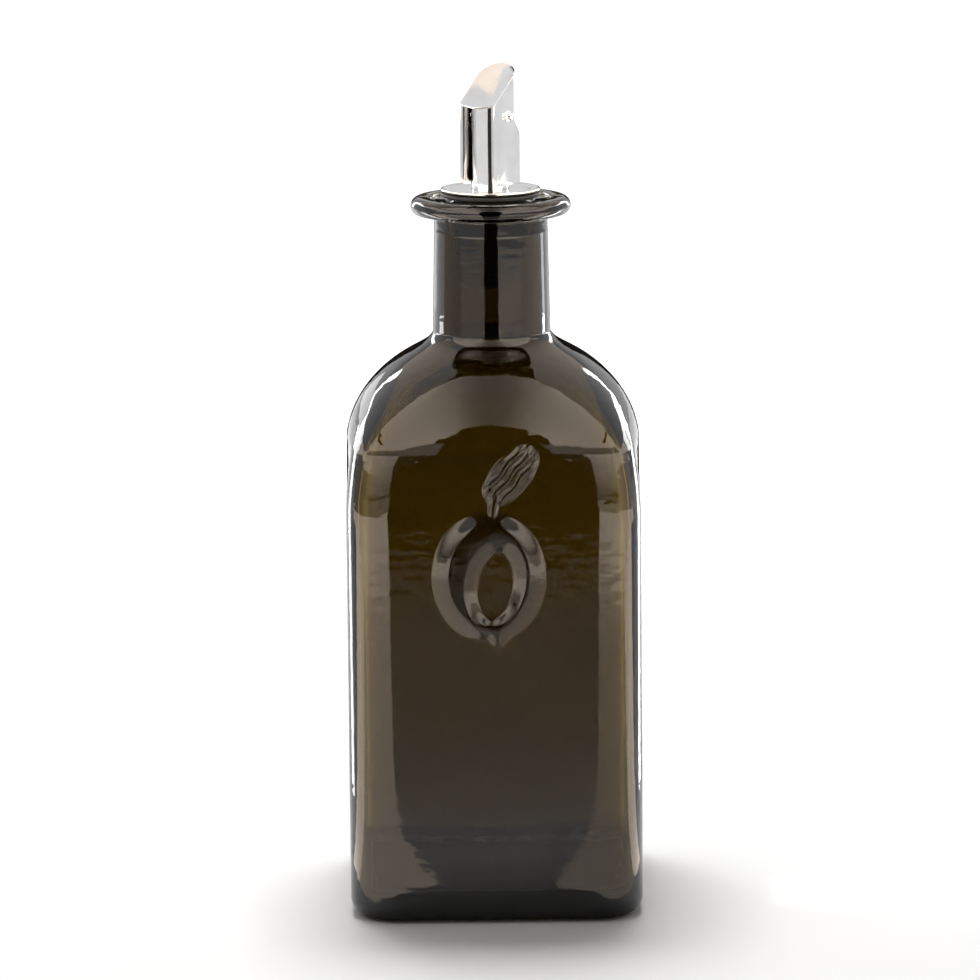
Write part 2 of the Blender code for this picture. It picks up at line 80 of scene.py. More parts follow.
# %% Camera
CAMERA_AWAY = 1.4
CAMERA_DOWN = math.radians(11.0)
CAMERA_ROLL = math.radians(-0.54)
CAMERA_AIM = Vector((-0.0009, AXIS_Y, 0.115))
LENS = 182.6
camera_data = bpy.data.cameras.new("camera")
camera_data.lens = LENS
camera_data.sensor_width = 36.0
camera = bpy.data.objects.new("camera", camera_data)
bpy.context.collection.objects.link(camera)
look = Matrix.Rotation(math.radians(90.0) - CAMERA_DOWN, 4, "X") @ Matrix.Rotation(CAMERA_ROLL, 4, "Z")
back_off = look.to_3x3() @ Vector((0.0, 0.0, CAMERA_AWAY))
camera.matrix_world = Matrix.Translation(CAMERA_AIM + back_off) @ look
bpy.context.scene.camera = camera
print("camera at", [round(value, 3) for value in camera.location])

# %% [markdown]
# Node trees are wired many times below, so a small helper makes a node with its values set. A second
# starts a material and hands back its tree and its main shader, and a third spreads a noise on object
# coordinates over a range of values.

# %% Helpers for node trees


def add_node(tree, kind, **values):
    """Make a node, setting its properties by name and its inputs by socket name."""
    node = tree.nodes.new(kind)
    for name, value in values.items():
        if hasattr(node, name):
            setattr(node, name, value)
        else:
            node.inputs[name.replace("_", " ")].default_value = value
    return node


def start_material(name):
    material = bpy.data.materials.new(name)
    material.use_nodes = True
    tree = material.node_tree
    return material, tree, tree.nodes["Principled BSDF"]


def noise_value(tree, scale, low, high, detail=3.0, stretch=(1.0, 1.0, 1.0)):
    """A noise on object coordinates, spread over a range of values; returns the output socket."""
    place = add_node(tree, "ShaderNodeTexCoord")
    mapping = add_node(tree, "ShaderNodeMapping", Scale=stretch)
    noise = add_node(tree, "ShaderNodeTexNoise", Scale=scale, Detail=detail)
    spread = add_node(tree, "ShaderNodeMapRange", From_Min=0.3, From_Max=0.7, To_Min=low, To_Max=high)
    tree.links.new(place.outputs["Object"], mapping.inputs["Vector"])
    tree.links.new(mapping.outputs["Vector"], noise.inputs["Vector"])
    tree.links.new(noise.outputs["Fac"], spread.inputs["Value"])
    return spread.outputs["Result"]


print("helpers ready")

# %% [markdown]
# The floor is a pale board, matt in front of the bottle, so that the shadow falls on it. Its colour
# there is painted darker grey the further it lies in front, a painted shade that the glass's front
# face mirrors. It glows softly from close behind the bottle, and far out on every side, and so runs
# into the white that the camera sees behind it, without a horizon.

# %% Floor
FLOOR_RADIUS = 14.0
GLOW_START = 1.15
GLOW_FULL = 2.0
BACK_START = 0.08
BACK_FULL = 0.50
# Painted shade: where, as y in metres, the floor's painted darkening in front of the bottle is darkest and
# where it ends.
PAINTED_SHADE_DARKEST_Y = -0.30
PAINTED_SHADE_END_Y = -0.10
bm = bmesh.new()
bmesh.ops.create_circle(bm, cap_ends=True, segments=96, radius=FLOOR_RADIUS)
floor_mesh = bpy.data.meshes.new("floor")
bm.to_mesh(floor_mesh)
bm.free()
floor = bpy.data.objects.new("floor", floor_mesh)
bpy.context.collection.objects.link(floor)
floor_material, tree, shader = start_material("pale_floor")
shader.inputs["Roughness"].default_value = 0.8
shader.inputs["Specular IOR Level"].default_value = 0.1
place = add_node(tree, "ShaderNodeTexCoord")
split = add_node(tree, "ShaderNodeSeparateXYZ")
length = add_node(tree, "ShaderNodeVectorMath", operation="LENGTH")
glow_far = add_node(
    tree, "ShaderNodeMapRange", interpolation_type="SMOOTHSTEP", From_Min=GLOW_START, From_Max=GLOW_FULL
)
glow_back = add_node(
    tree, "ShaderNodeMapRange", interpolation_type="SMOOTHSTEP", From_Min=BACK_START, From_Max=BACK_FULL
)
glow = add_node(tree, "ShaderNodeMath", operation="MAXIMUM")
shade = add_node(
    tree, "ShaderNodeMapRange", interpolation_type="SMOOTHSTEP", From_Min=PAINTED_SHADE_DARKEST_Y, From_Max=PAINTED_SHADE_END_Y
)
# Painted shade: the floor's colour goes from pale near the bottle to darker grey further in front, which the
# glass's front face mirrors.
painted_shade_tone = add_node(tree, "ShaderNodeMix", data_type="RGBA")
painted_shade_tone.inputs["A"].default_value = (0.44, 0.44, 0.44, 1.0)
painted_shade_tone.inputs["B"].default_value = (0.86, 0.86, 0.86, 1.0)
tree.links.new(place.outputs["Object"], length.inputs[0])
tree.links.new(place.outputs["Object"], split.inputs["Vector"])
tree.links.new(length.outputs["Value"], glow_far.inputs["Value"])
tree.links.new(split.outputs["Y"], glow_back.inputs["Value"])
tree.links.new(split.outputs["Y"], shade.inputs["Value"])
tree.links.new(glow_far.outputs["Result"], glow.inputs[0])
tree.links.new(glow_back.outputs["Result"], glow.inputs[1])
tree.links.new(glow.outputs["Value"], shader.inputs["Emission Strength"])
tree.links.new(shade.outputs["Result"], painted_shade_tone.inputs["Factor"])
tree.links.new(painted_shade_tone.outputs["Result"], shader.inputs["Base Color"])
shader.inputs["Emission Color"].default_value = (1.0, 1.0, 1.0, 1.0)
floor_mesh.materials.append(floor_material)
print("floor", 2 * FLOOR_RADIUS, "m across")

# %% [markdown]
# The camera sees a white world. Glass and steel see it bright behind the bottle, and dim in front
# and above. A bright front would lay a grey veil over the dark glass, and a dark back would take
# away its bright edges.

# %% World
world = bpy.data.worlds.new("studio")
bpy.context.scene.world = world
world.use_nodes = True
tree = world.node_tree
background = tree.nodes["Background"]
FRONT_DIM = 0.10
BACK_WHITE = 0.72
HIGH_DIM = 0.15
place = add_node(tree, "ShaderNodeTexCoord")
split = add_node(tree, "ShaderNodeSeparateXYZ")
fade = add_node(
    tree, "ShaderNodeMapRange", interpolation_type="SMOOTHSTEP",
    From_Min=-0.2, From_Max=0.5, To_Min=FRONT_DIM, To_Max=BACK_WHITE,
)
high = add_node(
    tree, "ShaderNodeMapRange", interpolation_type="SMOOTHSTEP",
    From_Min=0.25, From_Max=0.60, To_Min=1.0, To_Max=HIGH_DIM,
)
lowered = add_node(tree, "ShaderNodeMath", operation="MULTIPLY")
path = add_node(tree, "ShaderNodeLightPath")
seen = add_node(tree, "ShaderNodeMath", operation="MAXIMUM")
tree.links.new(place.outputs["Generated"], split.inputs["Vector"])
tree.links.new(split.outputs["Y"], fade.inputs["Value"])
tree.links.new(split.outputs["Z"], high.inputs["Value"])
tree.links.new(fade.outputs["Result"], lowered.inputs[0])
tree.links.new(high.outputs["Result"], lowered.inputs[1])
tree.links.new(lowered.outputs["Value"], seen.inputs[0])
tree.links.new(path.outputs["Is Camera Ray"], seen.inputs[1])
tree.links.new(seen.outputs["Value"], background.inputs["Strength"])
background.inputs["Color"].default_value = (1.0, 1.0, 1.0, 1.0)
bpy.context.scene.view_settings.view_transform = "Standard"
print("world set")

# %% [markdown]
# Two area lights light the floor: a key above and a little behind, which lays a short soft shadow
# forward, and a wide fill overhead. A light's power is worked out from how bright its face should
# be. Both are kept out of the reflections, where the boards below take their place.

# %% Lights
LIGHT_AIM = Vector((0.0, 0.0, 0.12))


def softbox(name, centre, size, face_brightness):
    """Rectangular area light of a given face brightness, turned towards the bottle."""
    data = bpy.data.lights.new(name, "AREA")
    data.shape = "RECTANGLE"
    data.size, data.size_y = size
    data.energy = face_brightness * math.pi * size[0] * size[1]
    light = bpy.data.objects.new(name, data)
    light.location = centre
    light.rotation_euler = (LIGHT_AIM - Vector(centre)).to_track_quat("-Z", "Y").to_euler()
    light.visible_camera = False
    light.visible_glossy = False
    light.visible_transmission = False
    bpy.context.collection.objects.link(light)


softbox("floor_key", (-0.03, 0.25, 1.00), (0.40, 0.34), 22.0)
softbox("floor_fill", (-0.20, -0.12, 1.05), (1.30, 1.20), 0.7)
print("lights:", len(bpy.data.lights))

# %% [markdown]
# Glass and steel are mirrors, so boards stand round the bottle for them to mirror. A board has a
# brightness of its own and hides what is behind it. A ceiling and tall boards lay the grey haze on
# the shoulder, boards that lie on the table draw the pale bands down the corners, and thin strips
# draw the white line down each edge. Black cards give the dark edges, the dark bar up the middle
# and the dark oval on the shoulder. The camera doesn't see the boards, and they light no matt
# surface and throw no shadow.

# %% Boards
LAID_HEIGHT = 0.0005
LAID_NEAR = 0.08
LAID_FAR = 0.74
LAID_FADE_START = 0.38
LAID_FADE_END = 0.66
WARM = (1.0, 0.87, 0.74, 1.0)
WHITE = (1.0, 1.0, 1.0, 1.0)
boards = []


def around(azimuth, away, height=0.0):
    """Place at an azimuth, which counts from the camera's side to the right."""
    turn = math.radians(azimuth)
    return Vector((away * math.sin(turn), -away * math.cos(turn), height))


def board(name, corners, brightness, fade=None, tint=WARM):
    """Black face that glows. A fade names the axes it is measured on, its span and its end value."""
    mesh = bpy.data.meshes.new(name)
    mesh.from_pydata(corners, [], [(0, 1, 2, 3)])
    material, tree, shader = start_material(name)
    shader.inputs["Base Color"].default_value = (0.0, 0.0, 0.0, 1.0)
    shader.inputs["Specular IOR Level"].default_value = 0.0
    shader.inputs["Emission Color"].default_value = tint
    shader.inputs["Emission Strength"].default_value = brightness
    if fade:
        axes, start, end, value = fade
        place = add_node(tree, "ShaderNodeTexCoord")
        kept = add_node(tree, "ShaderNodeVectorMath", operation="MULTIPLY")
        kept.inputs[1].default_value = axes
        length = add_node(tree, "ShaderNodeVectorMath", operation="LENGTH")
        spread = add_node(
            tree, "ShaderNodeMapRange", interpolation_type="SMOOTHSTEP",
            From_Min=start, From_Max=end, To_Min=brightness, To_Max=value,
        )
        tree.links.new(place.outputs["Object"], kept.inputs[0])
        tree.links.new(kept.outputs["Vector"], length.inputs[0])
        tree.links.new(length.outputs["Value"], spread.inputs["Value"])
        tree.links.new(spread.outputs["Result"], shader.inputs["Emission Strength"])
    mesh.materials.append(material)
    thing = bpy.data.objects.new(name, mesh)
    thing.visible_camera = False
    thing.visible_diffuse = False
    thing.visible_shadow = False
    bpy.context.collection.objects.link(thing)
    boards.append(thing)
    return thing


def upright(name, azimuths, away, heights, brightness, fade=None, tint=WARM):
    """Board that stands between two azimuths and two heights."""
    start, end = azimuths
    low, high = heights
    ring = ((start, low), (end, low), (end, high), (start, high))
    return board(name, [around(azimuth, away, height) for azimuth, height in ring], brightness, fade, tint)


def overhead(name, centre, size, brightness, fade=None, tint=WARM):
    """Level board above the bottle."""
    ring = ((-0.5, -0.5), (0.5, -0.5), (0.5, 0.5), (-0.5, 0.5))
    corners = [Vector(centre) + Vector((x * size[0], y * size[1], 0.0)) for x, y in ring]
    board(name, corners, brightness, fade, tint)


def laid(name, azimuths, brightness, far_brightness):
    """Board on the table between two azimuths, which the upright faces of the glass mirror."""
    start, end = azimuths
    ring = ((start, LAID_NEAR), (end, LAID_NEAR), (end, LAID_FAR), (start, LAID_FAR))
    corners = [around(azimuth, away, LAID_HEIGHT) for azimuth, away in ring]
    fade = ((1.0, 1.0, 0.0), LAID_FADE_START, LAID_FADE_END, far_brightness)
    thing = board(name, corners, brightness, fade)
    thing.visible_transmission = False


TABLE_FACE = {"left": (2.2, 4.0), "right": (1.5, 3.5)}
NECK_FACE = {"left": 1.25, "right": 1.75}
NECK_SIDE_FACE = {"left": 0.9, "right": 1.5}
RIM_FACE = {"left": 8.0, "right": 13.0}
RIM_AT = {"left": (106.0, 119.0), "right": (114.0, 124.0)}
NECK_RIM_FACE = {"left": 2.0, "right": 4.5}
NECK_RIM_AT = {"left": (134.0, 152.0), "right": (116.0, 126.0)}
HAZE_RISE = ((0.0, 0.0, 1.0), 0.12, 0.30, 3.6)
# Each upright board: its two azimuths in degrees, distance and two heights in metres, brightness.
for side, way in (("left", -1.0), ("right", 1.0)):
    laid(f"table_front_{side}", (way * 12.0, way * 74.0), *TABLE_FACE[side])
    laid(f"table_side_{side}", (way * 74.0, way * 97.0), 4.3, 4.3)
    upright(f"neck_front_{side}", (way * 14.0, way * 62.0), 0.64, (0.075, 0.125), NECK_FACE[side])
    upright(f"neck_side_{side}", (way * 62.0, way * 106.0), 0.38, (0.09, 0.17), NECK_SIDE_FACE[side])
    upright(f"steel_front_{side}", (way * 14.0, way * 80.0), 0.20, (0.170, 0.220), 0.85, tint=WHITE)
    upright(f"steel_side_{side}", (way * 80.0, way * 138.0), 0.14, (0.176, 0.240), 0.85, tint=WHITE)
    rim_at = tuple(way * at for at in RIM_AT[side])
    neck_rim_at = tuple(way * at for at in NECK_RIM_AT[side])
    upright(f"rim_{side}", rim_at, 0.16, (0.0, 0.145), RIM_FACE[side], tint=WHITE)
    upright(f"neck_rim_{side}", neck_rim_at, 0.16, (0.145, 0.175), NECK_RIM_FACE[side], tint=WHITE)
    upright(f"haze_front_{side}", (way * 16.0, way * 70.0), 0.70, (0.14, 0.66), 0.8, HAZE_RISE)
    upright(f"haze_side_{side}", (way * 70.0, way * 114.0), 0.68, (0.17, 0.66), 3.6)
    upright(f"key_{side}", (way * 116.0, way * 152.0), 0.70, (0.16, 0.53), 8.5, tint=WHITE)
    upright(f"table_end_{side}", (way * 14.0, way * 106.0), 0.72, (0.0, 0.075), 3.6)
    edge = upright(f"black_edge_{side}", (way * 162.0, way * 178.0), 0.30, (0.0, 0.24), 0.02)
    edge.visible_transmission = False
upright("lens_card", (-13.0, 13.0), 0.56, (0.0, 0.60), 0.03)
overhead("ceiling", (0.0, -0.60, 1.05), (2.0, 1.40), 0.9, ((1.0, 0.0, 0.0), 0.04, 0.42, 3.4))
overhead("ceiling_back", (0.0, 0.90, 1.05), (2.4, 1.60), 1.2)
overhead("oval_card", (0.0, 0.20, 0.80), (0.36, 0.25), 0.0)
overhead("plate_board", (-0.19, 0.148, 0.60), (0.17, 0.17), 0.86, tint=WHITE)
print("boards:", len(boards))

# %% [markdown]
# The bottle's section is a square with round corners that turns into a circle as the shoulder
# narrows. A ring of points is found by how far the edge lies from the axis in each direction. The
# columns are close together where the olive is, and wide apart where the glass is plain.

# %% Section of the glass
CORNER_RADIUS = 13.0 * MM
EMBOSSED_LEFT = -18.5 * MM
EMBOSSED_RIGHT = 15.5 * MM
EMBOSSED_COLUMNS = 118
CORNER_COLUMNS = 9
FLAT_COLUMNS = 22
MARGIN_COLUMNS = 5


def edge_distance(half, corner, angle):
    """Distance from the axis to a rounded square's edge; angles count from a side's middle."""
    flat = half - corner
    angle = np.abs(angle)
    along = flat * (np.cos(angle) + np.sin(angle))
    across = flat * (np.cos(angle) - np.sin(angle))
    on_arc = along + np.sqrt(np.maximum(corner * corner - across * across, 0.0))
    return np.where(half * np.tan(angle) <= flat + 1e-9, half / np.cos(angle), on_arc)


def side_columns(front):
    """Directions of one side's columns, from one corner's middle to just before the next."""
    diagonal = math.radians(45.0)
    flat_end = math.atan2(BODY_HALF - CORNER_RADIUS, BODY_HALF)
    if front:
        left = math.atan2(EMBOSSED_LEFT, BODY_HALF)
        right = math.atan2(EMBOSSED_RIGHT, BODY_HALF)
        stops = [(-diagonal, CORNER_COLUMNS), (-flat_end, MARGIN_COLUMNS), (left, EMBOSSED_COLUMNS)]
        stops += [(right, MARGIN_COLUMNS), (flat_end, CORNER_COLUMNS), (diagonal, 0)]
    else:
        stops = [(-diagonal, CORNER_COLUMNS), (-flat_end, FLAT_COLUMNS)]
        stops += [(flat_end, CORNER_COLUMNS), (diagonal, 0)]
    runs = [
        np.linspace(start, end, count, endpoint=False)
        for (start, count), (end, _) in zip(stops, stops[1:])
    ]
    return np.concatenate(runs)


columns = [side_columns(side == 0) for side in range(4)]
column_angle = np.concatenate(columns)
column_way = np.concatenate([
    angles + math.radians(90.0 * side - 90.0) for side, angles in enumerate(columns)
])
is_front = np.arange(len(column_angle)) < len(columns[0])
print("columns round the glass:", len(column_angle))


# %% [markdown]
# Below the shoulder the half width is constant. Above it a dome falls in towards the neck, and a
# soft fillet joins the two, while the section leans from a square towards a circle. The same rule,
# a wall's thickness smaller, gives the inside.

# %% Shoulder and neck
SHOULDER_START = 128.0 * MM
SHOULDER_DOME = 32.5 * MM
SHOULDER_FILLET = 6.0 * MM
NECK_BASE_RADIUS = 15.9 * MM
NECK_TOP_RADIUS = 15.2 * MM
LIP_RADIUS = 22.3 * MM
LIP_THICKNESS = 4.8 * MM
WALL = 3.6 * MM
BORE_RADIUS = 11.0 * MM
INNER_CORNER = 5.5 * MM
FACE_CROWN = 0.012
DOME_CROWN = 0.70
CROWN_START = 112.0 * MM


def neck_radius(height):
    base = SHOULDER_START + SHOULDER_DOME
    share = (height - base) / (LIP_TOP - LIP_THICKNESS - base)
    return NECK_BASE_RADIUS + (NECK_TOP_RADIUS - NECK_BASE_RADIUS) * min(max(share, 0.0), 1.0)


def shoulder_half(height, body_half, dome, neck):
    rise = min(max((height - SHOULDER_START) / dome, 0.0), 1.0)
    dome_half = body_half * math.sqrt(1.0 - rise * rise)
    blend = math.hypot(dome_half - neck, SHOULDER_FILLET)
    return min(0.5 * (dome_half + neck + blend), body_half)


def shoulder_level(height, body_half, corner, dome, neck):
    """Half width, corner radius and height of one level of the shoulder or the neck."""
    half = shoulder_half(height, body_half, dome, neck)
    roundness = min(max((body_half - half) / (body_half - neck), 0.0), 1.0)
    radius = min(corner + (half - corner) * roundness ** 1.5, half)
    if height >= SHOULDER_START + dome:
        radius = half
    return half, radius, height


def crown(height):
    """How far a level's section leans from a rounded square towards a circle."""
    share = min(max((height - CROWN_START) / (SHOULDER_START + SHOULDER_DOME - CROWN_START), 0.0), 1.0)
    return FACE_CROWN + DOME_CROWN * share * share * (3.0 - 2.0 * share)


half_at_150 = shoulder_half(150.0 * MM, BODY_HALF, SHOULDER_DOME, NECK_BASE_RADIUS)
print(f"half width at 150 mm: {half_at_150 / MM:.1f} mm")

# %% [markdown]
# The embossing is a height over the front face. The olive is a swelling with a dished middle and a
# small point below. The leaf leans to the right and has ribs along it, and a stem joins the two.
# Real pressed glass has edges that are soft but quick, so each form rises with a smooth step.

# %% Embossed olive and leaf
OLIVE_CENTRE = (-1.4 * MM, 98.7 * MM)
OLIVE_HALF = (16.0 * MM, 19.4 * MM)
OLIVE_CREST = 0.68
OLIVE_HEIGHT = 1.8 * MM
DISH_CENTRE = (0.2 * MM, 97.4 * MM)
DISH_HALF = (9.6 * MM, 14.4 * MM)
FLOOR_CENTRE = (0.3 * MM, 96.0 * MM)
FLOOR_HALF = (4.7 * MM, 9.0 * MM)
DISH_DEPTH = 1.6 * MM
DISH_TILT = math.radians(9.0)
FLOOR_RIDGE = 0.14 * MM
RIDGE_AT = 1.22
RIDGE_WIDTH = 0.07
POINT_AT = 1.2 * MM
POINT_WIDTH = 2.2 * MM
POINT_SHARE = 0.09
POINT_START = 0.6
POINT_RUN = 0.4
LEAF_CENTRE = (4.7 * MM, 126.9 * MM)
LEAF_HALF = (9.9 * MM, 5.3 * MM)
LEAF_BLUNT = 2.4
LEAF_WAVE = 0.05
LEAF_WAVE_RATE = 8.0
LEAF_EDGE = 0.25
LEAF_LEAN = math.radians(40.0)
LEAF_HEIGHT = 0.9 * MM
LEAF_RIBS = 2.0
GROOVE_DEPTH = 0.75 * MM
GROOVE_WIDTH = 0.5
STEM_FROM = (-0.3 * MM, 116.5 * MM)
STEM_TO = (0.6 * MM, 121.5 * MM)
STEM_HALF = 1.5 * MM
STEM_HEIGHT = 0.8 * MM
STEM_STEEPNESS = 1.6


def ease(t):
    t = np.clip(t, 0.0, 1.0)
    return t * t * (3.0 - 2.0 * t)


def oval_distance(x, z, centre, half):
    """Distance from an oval's middle, where 1 is its edge; the oval is tilted like the dish."""
    dx = x - centre[0]
    dz = z - centre[1]
    turned_x = dx * math.cos(DISH_TILT) - dz * math.sin(DISH_TILT)
    turned_z = dx * math.sin(DISH_TILT) + dz * math.cos(DISH_TILT)
    return np.hypot(turned_x / half[0], turned_z / half[1])


def olive_height(x, z):
    across = (x - OLIVE_CENTRE[0]) / OLIVE_HALF[0]
    up = (z - OLIVE_CENTRE[1]) / OLIVE_HALF[1]
    point = np.exp(-(((x - POINT_AT) / POINT_WIDTH) ** 2))
    out = np.hypot(across, up) - POINT_SHARE * point * ease((-up - POINT_START) / POINT_RUN)
    swelling = OLIVE_HEIGHT * ease((1.0 - out) / (1.0 - OLIVE_CREST))
    inside = oval_distance(x, z, DISH_CENTRE, DISH_HALF)
    beyond = oval_distance(x, z, FLOOR_CENTRE, FLOOR_HALF)
    from_rim = np.maximum(1.0 - inside, 0.0)
    to_floor = np.maximum(beyond - 1.0, 1e-6)
    way_down = from_rim / (from_rim + to_floor)
    ridge = FLOOR_RIDGE * np.exp(-(((beyond - RIDGE_AT) / RIDGE_WIDTH) ** 2))
    return swelling - DISH_DEPTH * ease(way_down) + ridge


def leaf_height(x, z):
    dx = x - LEAF_CENTRE[0]
    dz = z - LEAF_CENTRE[1]
    along = (dx * math.sin(LEAF_LEAN) + dz * math.cos(LEAF_LEAN)) / LEAF_HALF[0]
    across = (dx * math.cos(LEAF_LEAN) - dz * math.sin(LEAF_LEAN)) / LEAF_HALF[1]
    out = (np.abs(along) ** LEAF_BLUNT + np.abs(across) ** LEAF_BLUNT) ** (1.0 / LEAF_BLUNT)
    wavy = across + LEAF_WAVE * np.sin(along * LEAF_WAVE_RATE)
    groove = np.exp(-((np.cos(wavy * LEAF_RIBS * math.pi) / GROOVE_WIDTH) ** 2))
    return ease((1.0 - out) / LEAF_EDGE) * (LEAF_HEIGHT - GROOVE_DEPTH * groove)


def stem_height(x, z):
    run_x = STEM_TO[0] - STEM_FROM[0]
    run_z = STEM_TO[1] - STEM_FROM[1]
    share = ((x - STEM_FROM[0]) * run_x + (z - STEM_FROM[1]) * run_z) / (run_x * run_x + run_z * run_z)
    share = np.clip(share, 0.0, 1.0)
    away = np.hypot(x - STEM_FROM[0] - run_x * share, z - STEM_FROM[1] - run_z * share)
    return STEM_HEIGHT * ease(STEM_STEEPNESS * (1.0 - away / STEM_HALF))


def embossed_height(x, z):
    forms = (olive_height(x, z), leaf_height(x, z), stem_height(x, z))
    return np.maximum(np.maximum.reduce(forms), 0.0)


print(f"olive stands {embossed_height(np.array([-14 * MM]), np.array([98.7 * MM])).max() / MM:.2f} mm proud")

# %% [markdown]
# The glass is one closed skin: from the push-up under the base, round the heel, up the sides, over
# the ring lip, into the mouth and down the inside to the floor. Levels are half a millimetre apart
# at the embossing. A real mould leaves a fine line round the neck, which stands out here too.

# %% Levels of the glass
HEEL_RADIUS = 5.0 * MM
PUSH_UP = 2.0 * MM
FLOOR_HEIGHT = 7.0 * MM
INNER_HEEL = 4.0 * MM
MOUTH_ROUND = 1.5 * MM
SEAT_RADIUS = 17.6 * MM
SEAT_DEPTH = 0.9 * MM
SEAM_HEIGHT = 189.0 * MM
SEAM_WIDTH = 0.35 * MM
SEAM_PROUD = 0.05 * MM
LIP_FILLET = 1.0 * MM
# Under the base: how far in from the heel and how round a corner, in mm, and the push-up's share.
BASE_STEPS = ((34, 1, 1), (28, 2, 1), (20, 3, 1), (12, 5, 0.75), (9, 6, 0.35), (6, 7, 0))


def outer_levels():
    """Half width, corner radius and height of each outer level, from the base up into the mouth."""
    levels = []
    flat = BODY_HALF - HEEL_RADIUS
    for inset, corner, share in BASE_STEPS:
        levels.append((flat - inset * MM, corner * MM, PUSH_UP * share))
    for turn in np.radians(np.linspace(0.0, 90.0, 12)):
        inset = HEEL_RADIUS * (1.0 - math.sin(turn))
        levels.append((BODY_HALF - inset, CORNER_RADIUS - inset, HEEL_RADIUS * (1.0 - math.cos(turn))))
    heights = np.concatenate([
        np.arange(12, 77, 6), np.arange(77.5, 138.4, 0.5), np.arange(139, 166, 0.6),
        np.arange(168, 187, 3), np.arange(187.5, 191, 0.15), [192.0],
    ])
    for height in heights * MM:
        level = shoulder_level(height, BODY_HALF, CORNER_RADIUS, SHOULDER_DOME, neck_radius(height))
        seam = SEAM_PROUD * math.exp(-(((height - SEAM_HEIGHT) / SEAM_WIDTH) ** 2))
        levels.append((level[0] + seam, level[1] + seam, height))
    neck = shoulder_half(LIP_TOP - LIP_THICKNESS, BODY_HALF, SHOULDER_DOME, neck_radius(LIP_TOP))
    levels += [(radius, radius, height) for radius, height in lip_profile(neck)]
    return levels


def lip_profile(neck):
    """The ring lip: a small fillet under it, a round edge, and the rounded way into the mouth."""
    points = []
    underside = LIP_TOP - LIP_THICKNESS
    for turn in np.radians(np.linspace(0.0, 90.0, 6)):
        radius = neck + LIP_FILLET * (1.0 - math.cos(turn))
        points.append((radius, underside - LIP_FILLET * (1.0 - math.sin(turn))))
    round_out = LIP_THICKNESS / 2
    for turn in np.radians(np.linspace(-90.0, 90.0, 25)):
        radius = LIP_RADIUS - round_out + round_out * math.cos(turn)
        points.append((radius, LIP_TOP - round_out + round_out * math.sin(turn)))
    seat = LIP_TOP - SEAT_DEPTH
    for turn in np.radians(np.linspace(0.0, 90.0, 8)):
        points.append((SEAT_RADIUS - SEAT_DEPTH * math.sin(turn), seat + SEAT_DEPTH * math.cos(turn)))
    for turn in np.radians(np.linspace(0.0, 90.0, 8)):
        radius = BORE_RADIUS + MOUTH_ROUND * (1.0 - math.sin(turn))
        points.append((radius, seat - MOUTH_ROUND * (1.0 - math.cos(turn))))
    return points


def inner_levels():
    levels = []
    half = BODY_HALF - WALL
    dome = SHOULDER_DOME - WALL
    heights = np.concatenate([
        np.arange(192, 165, -6), np.arange(163, 132, -1.0), np.arange(130, 12, -6),
    ])
    for height in heights * MM:
        levels.append(shoulder_level(height, half, INNER_CORNER, dome, BORE_RADIUS))
    for turn in np.radians(np.linspace(0.0, 90.0, 8)):
        inset = INNER_HEEL * (1.0 - math.cos(turn))
        height = FLOOR_HEIGHT + INNER_HEEL * (1.0 - math.sin(turn))
        levels.append((half - inset, INNER_CORNER - inset * 0.6, height))
    for inset in (8, 16, 24, 30):
        levels.append((half - inset * MM, max(INNER_CORNER - inset * 0.2 * MM, 1.0 * MM), FLOOR_HEIGHT))
    return levels


print("levels:", len(outer_levels()), "outside,", len(inner_levels()), "inside")

# %% [markdown]
# Blown glass is never even inside: its wall swells and thins by a few tenths of a millimetre over
# centimetres. That slow wave bends what is seen through it, so the inner skin gets one.

# %% Glass mesh
WAVE_HEIGHT = 0.14 * MM
EMBOSSED_LOW = 76.0 * MM
EMBOSSED_HIGH = 139.0 * MM


def ring_points(half, corner, height):
    distance = edge_distance(half, corner, column_angle)
    distance = distance + (half - distance) * crown(height)
    x = distance * np.cos(column_way)
    y = distance * np.sin(column_way)
    return x, y, np.full_like(x, height)


def inner_wave(x, y, z):
    """Slow swelling of the wall, from three crossing waves; it dies out in the neck."""
    wave = np.sin(x * 170 + z * 95) + np.sin(y * 150 - z * 120 + 1.0) + np.sin((x + y) * 90 + z * 210 + 2.0)
    return WAVE_HEIGHT * wave / 3.0 * ease((SHOULDER_START - z) / (20 * MM))


def build_glass():
    rows = []
    for half, corner, height in outer_levels():
        x, y, z = ring_points(half, corner, height)
        raised = embossed_height(x, z) if EMBOSSED_LOW < height < EMBOSSED_HIGH else 0.0
        rows.append(np.stack([x, y - np.where(is_front, raised, 0.0), z], axis=1))
    for half, corner, height in inner_levels():
        x, y, z = ring_points(half, corner, height)
        grow = 1.0 + inner_wave(x, y, z) / half
        rows.append(np.stack([x * grow, y * grow, z], axis=1))
    count = len(column_way)
    points = np.concatenate(rows) + np.array([0.0, AXIS_Y, 0.0])
    near = np.arange(count)
    beside = (near + 1) % count
    faces = []
    for row in range(len(rows) - 1):
        low = row * count
        high = low + count
        faces += np.stack([low + near, low + beside, high + beside, high + near], axis=1).tolist()
    faces.append(list(range(count - 1, -1, -1)))
    last = (len(rows) - 1) * count
    faces.append([last + column for column in range(count)])
    return points.tolist(), faces


def mesh_piece(name, points, faces, material, sharp_angle=40.0):
    """Turn points and faces into a smooth-shaded object at the origin."""
    mesh = bpy.data.meshes.new(name)
    mesh.from_pydata(points, [], faces)
    mesh.validate()
    mesh.shade_smooth()
    mesh.set_sharp_from_angle(angle=math.radians(sharp_angle))
    mesh.materials.append(material)
    piece = bpy.data.objects.new(name, mesh)
    bpy.context.collection.objects.link(piece)
    return piece


# %% [markdown]
# Dark glass is nearly colourless at its surface. Its colour comes from the depth of glass that
# light crosses, so the tint is a volume absorption, and thin corners turn amber by themselves. The
# surface has a faint orange-peel ripple from the mould and barely uneven gloss.

